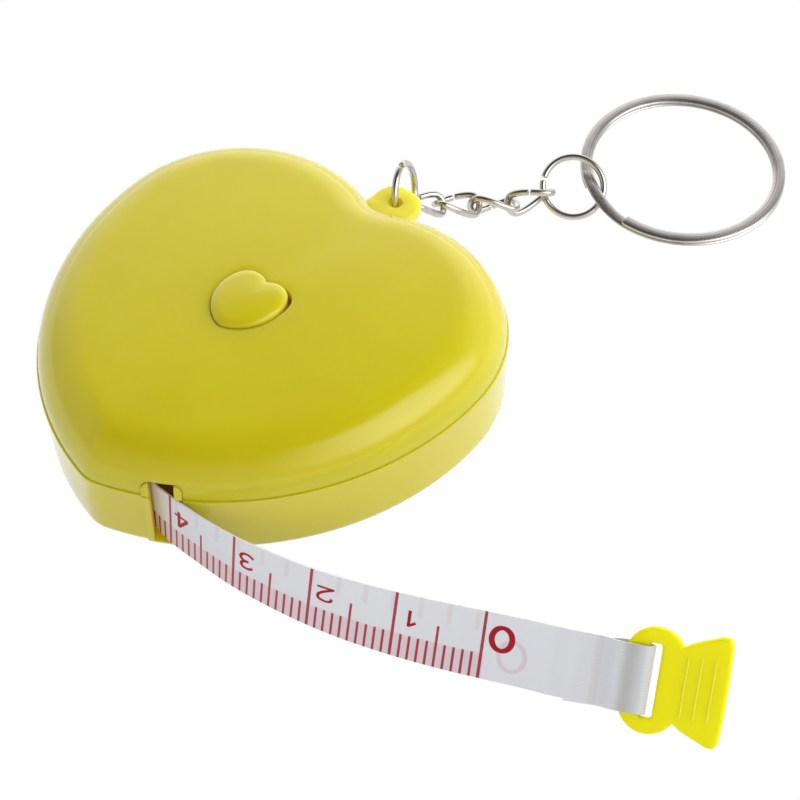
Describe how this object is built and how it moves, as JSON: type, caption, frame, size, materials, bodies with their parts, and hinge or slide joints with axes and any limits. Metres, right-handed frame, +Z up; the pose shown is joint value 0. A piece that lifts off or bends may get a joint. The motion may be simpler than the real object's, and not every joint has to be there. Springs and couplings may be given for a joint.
{
  "type": "pocket tape measure",
  "caption": "Heart-shaped spring-wound pocket tape measure: two-shell case, release button, printed tape with pull tab, and a lug with chain and split key ring",
  "frame": {"origin": "on the reel and button axis at the flat base the case lies on", "axes": "+Z up out of the button, +Y from the axis through the cleft and the chain lug, +X to the side the tape leaves"},
  "size_m": [0.1, 0.0993, 0.016],
  "materials": {
    "shell_yellow": "satin moulded yellow plastic",
    "tab_yellow": "bright yellow moulded plastic",
    "inner_white": "plain white moulding",
    "spring_steel": "blank spring steel",
    "chain_chrome": "bright nickel plating",
    "tape_white": "coated glass-fibre cloth, printed red"
  },
  "bodies": {
    "case": {"lower_shell": "shell_yellow", "upper_shell": "shell_yellow", "mainspring": "spring_steel", "tape_run": "tape_white"},
    "button": {"release_button": "shell_yellow", "brake_disc": "inner_white", "button_spring": "spring_steel"},
    "reel": {"reel": "inner_white", "brake_ring": "inner_white", "spring_cover": "inner_white", "tape_coil": "tape_white"},
    "tape": {"tape_free": "tape_white", "tape_end_fold": "tape_white"},
    "tab": {"pull_tab": "tab_yellow"},
    "lug_ring": {"lug_ring": "chain_chrome"},
    "link_1": {"chain_link_1": "chain_chrome"},
    "link_2": {"chain_link_2": "chain_chrome"},
    "link_3": {"chain_link_3": "chain_chrome"},
    "link_4": {"chain_link_4": "chain_chrome"},
    "jump_ring": {"jump_ring": "chain_chrome"},
    "split_ring": {"split_ring": "chain_chrome"}
  },
  "joints": [
    {"name": "button_press", "type": "slide", "parent": "case", "child": "button", "axis": [0, 0, -1], "range_m": [0, 0.0015], "stiffness_N_per_m": 600, "springref_m": -0.0015, "deforming": ["button_spring"]},
    {"name": "reel_spin", "type": "hinge", "parent": "case", "child": "reel", "pos_m": [0, 0, 0], "axis": [0, 0, 1], "range_deg": [-186, 6480]},
    {"name": "tape_pull", "type": "slide", "parent": "case", "child": "tape", "axis": [0.939, 0.344, 0], "range_m": [-0.0402, 1.4], "deforming": ["tape_free"]},
    {"name": "tab_swing", "type": "hinge", "parent": "tape", "child": "tab", "pos_m": [0.06255, -0.0087, 0.00546], "axis": [-0.2623, 0.5909, 0.7629], "range_deg": [-18, 18]},
    {"name": "lug_ring_swing", "type": "hinge", "parent": "case", "child": "lug_ring", "pos_m": [0, 0.02698, 0.00975], "axis": [0, 0, 1], "range_deg": [-18, 18]},
    {"name": "link_1_swing", "type": "hinge", "parent": "lug_ring", "child": "link_1", "pos_m": [-0.00107, 0.03128, 0.00542], "axis": [-0.442, 0.8602, 0.2545], "range_deg": [-10, 10]},
    {"name": "link_2_swing", "type": "hinge", "parent": "link_1", "child": "link_2", "pos_m": [0.0001, 0.03557, 0.00365], "axis": [-0.6089, 0.4905, 0.6234], "range_deg": [-10, 10]},
    {"name": "link_3_swing", "type": "hinge", "parent": "link_2", "child": "link_3", "pos_m": [0.00278, 0.03917, 0.00226], "axis": [-0.5495, 0.6087, 0.5724], "range_deg": [-10, 10]},
    {"name": "link_4_swing", "type": "hinge", "parent": "link_3", "child": "link_4", "pos_m": [0.00599, 0.04254, 0.00167], "axis": [-0.7426, 0.6528, -0.1496], "range_deg": [-10, 10]},
    {"name": "jump_ring_swing", "type": "hinge", "parent": "link_4", "child": "jump_ring", "pos_m": [0.00852, 0.04644, 0.00233], "axis": [0.6195, -0.5001, 0.6051], "range_deg": [-10, 10]},
    {"name": "split_ring_swing", "type": "hinge", "parent": "jump_ring", "child": "split_ring", "pos_m": [0.01253, 0.05138, 0.00288], "axis": [-0.6597, 0.4938, 0.5666], "range_deg": [-8, 8]}
  ],
  "couplings": [
    {"joint": "tape_pull", "follows": "reel_spin", "m_per_rad": 0.01235}
  ]
}
